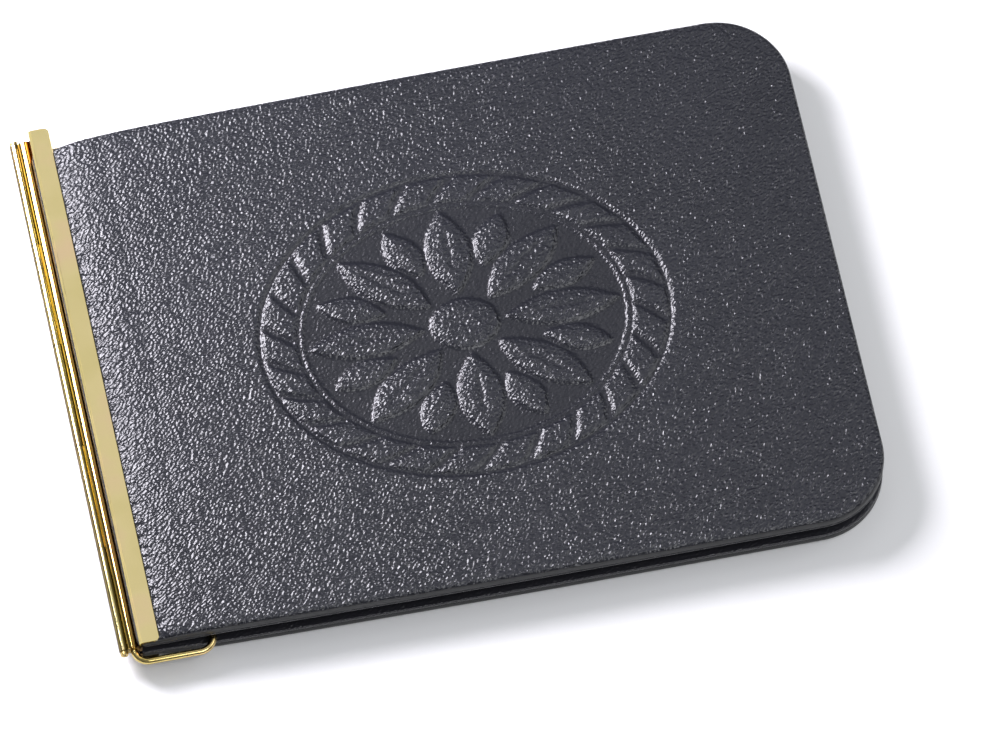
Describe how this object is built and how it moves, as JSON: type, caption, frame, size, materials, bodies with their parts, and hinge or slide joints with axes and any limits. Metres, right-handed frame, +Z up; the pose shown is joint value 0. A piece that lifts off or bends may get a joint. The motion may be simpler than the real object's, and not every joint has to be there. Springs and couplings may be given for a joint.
{
  "type": "folding money clip",
  "caption": "Folding leather money clip: grained dark covers gripped by hinged gold-tone metal bars, with a swinging wire bail between them that holds banknotes.",
  "frame": {"origin": "middle of the closed clip's box, on the surface that it rests on", "axes": "+X from the metal spine to the free edge of the covers, +Y along the spine, +Z up from the rear cover to the front cover"},
  "size_m": [0.1, 0.0758, 0.006],
  "materials": {
    "bar_plate": "polished gold-tone plate on folded sheet",
    "wire_plate": "polished gold-tone plate on drawn wire",
    "pin_metal": "drawn, ends flared over",
    "tube_metal": "drawn thin tube",
    "spring_steel": "hard drawn spring wire",
    "cover_leather": "fine pebble grain, soft sheen, blind embossed",
    "lining_leather": "smooth matt lining leather",
    "pocket_leather": "smooth lining leather, stitched on three sides",
    "board": "pressed fibre board"
  },
  "bodies": {
    "rear_cover": {"rear_bar": "bar_plate", "bail_tube": "tube_metal", "bail_torsion_rod": "spring_steel", "hinge_pin": "pin_metal", "rear_outer_leather": "cover_leather", "rear_stiffener": "board", "rear_lining": "lining_leather", "rear_card_pocket": "pocket_leather"},
    "front_cover": {"front_bar": "bar_plate", "front_outer_leather": "cover_leather", "front_stiffener": "board", "front_lining": "lining_leather", "front_card_pocket": "pocket_leather"},
    "bail": {"wire_bail": "wire_plate"}
  },
  "joints": [
    {"name": "cover_hinge", "type": "hinge", "parent": "rear_cover", "child": "front_cover", "pos_m": [-0.04939, 0, 0.003], "axis": [0, -1, 0], "range_deg": [0, 180]},
    {"name": "bail_swing", "type": "hinge", "parent": "rear_cover", "child": "bail", "pos_m": [-0.04811, 0, 0.003], "axis": [0, -1, 0], "range_deg": [0, 90]}
  ],
  "couplings": [
    {"joint": "bail_swing", "follows": "cover_hinge", "ratio": 0.5}
  ]
}
